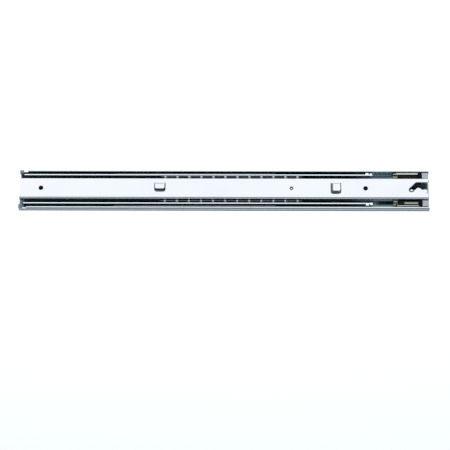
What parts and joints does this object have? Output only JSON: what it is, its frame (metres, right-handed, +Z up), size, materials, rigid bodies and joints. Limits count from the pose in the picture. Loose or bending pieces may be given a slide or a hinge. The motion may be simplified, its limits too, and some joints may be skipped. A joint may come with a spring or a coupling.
{
  "type": "cabinet drawer slide",
  "caption": "Full-extension ball-bearing drawer slide with bayonet hooks, caged balls, a rear detent clip and an interlock cam slot.",
  "frame": {"origin": "centre of the cabinet screw hole, on the face that lies against the cabinet", "axes": "+X along the slide, the way the drawer opens; +Y from the slide into the cabinet side; +Z up in use. Drawer side faces -Y."},
  "size_m": [0.45, 0.0179, 0.0456],
  "materials": {
    "zinc_steel": "bright zinc plate, smooth rolled sheet",
    "cage_steel": "thin rolled strip, oiled",
    "ball_steel": "polished bearing steel",
    "bracket_steel": "zinc plate, satin",
    "rivet_steel": "zinc plate, rolled ring",
    "arm_steel": "spring strip, bright edge",
    "pad_plastic": "moulded, olive black",
    "nylon": "natural nylon",
    "rubber": "black buffer rubber",
    "lever_plastic": "moulded black plastic",
    "eyelet_brass": "dull brown rolled eyelet"
  },
  "bodies": {
    "cabinet_member": {"outer_rail": "zinc_steel", "rear_bracket": "bracket_steel", "rear_rivet": "rivet_steel", "spring_arm_upper": "arm_steel", "spring_arm_lower": "arm_steel", "arm_pad_upper": "pad_plastic", "arm_pad_lower": "pad_plastic", "arm_tip_upper": "nylon", "arm_tip_lower": "nylon", "rear_buffer_upper": "rubber", "rear_buffer_lower": "rubber"},
    "middle_member": {"middle_rail": "zinc_steel"},
    "drawer_member": {"inner_rail": "zinc_steel", "lever_eyelet": "eyelet_brass"},
    "outer_ball_cage": {"outer_cage": "cage_steel", "outer_balls_upper": "ball_steel", "outer_balls_lower": "ball_steel"},
    "inner_ball_cage": {"inner_cage": "cage_steel", "inner_balls_upper": "ball_steel", "inner_balls_lower": "ball_steel"},
    "disconnect": {"disconnect_lever": "lever_plastic"},
    "interlock": {"interlock_lever": "bracket_steel", "follower_pin": "ball_steel"}
  },
  "joints": [
    {"name": "middle_slide", "type": "slide", "parent": "cabinet_member", "child": "middle_member", "axis": [1, 0, 0], "range_m": [0, 0.196]},
    {"name": "drawer_slide", "type": "slide", "parent": "middle_member", "child": "drawer_member", "axis": [1, 0, 0], "range_m": [0, 0.254]},
    {"name": "outer_cage_roll", "type": "slide", "parent": "cabinet_member", "child": "outer_ball_cage", "axis": [1, 0, 0], "range_m": [0, 0.098]},
    {"name": "inner_cage_roll", "type": "slide", "parent": "middle_member", "child": "inner_ball_cage", "axis": [1, 0, 0], "range_m": [0, 0.127]},
    {"name": "disconnect_pivot", "type": "hinge", "parent": "drawer_member", "child": "disconnect", "pos_m": [-0.2925, -0.01, 0], "axis": [0, -1, 0], "range_deg": [0, 16], "stiffness_Nm_per_rad": 0.05},
    {"name": "interlock_pivot", "type": "hinge", "parent": "cabinet_member", "child": "interlock", "pos_m": [-0.4384, -0.003, 0], "axis": [0, 1, 0], "range_deg": [0, 22]}
  ],
  "couplings": [
    {"joint": "outer_cage_roll", "follows": "middle_slide", "ratio": 0.5},
    {"joint": "inner_cage_roll", "follows": "drawer_slide", "ratio": 0.5}
  ]
}
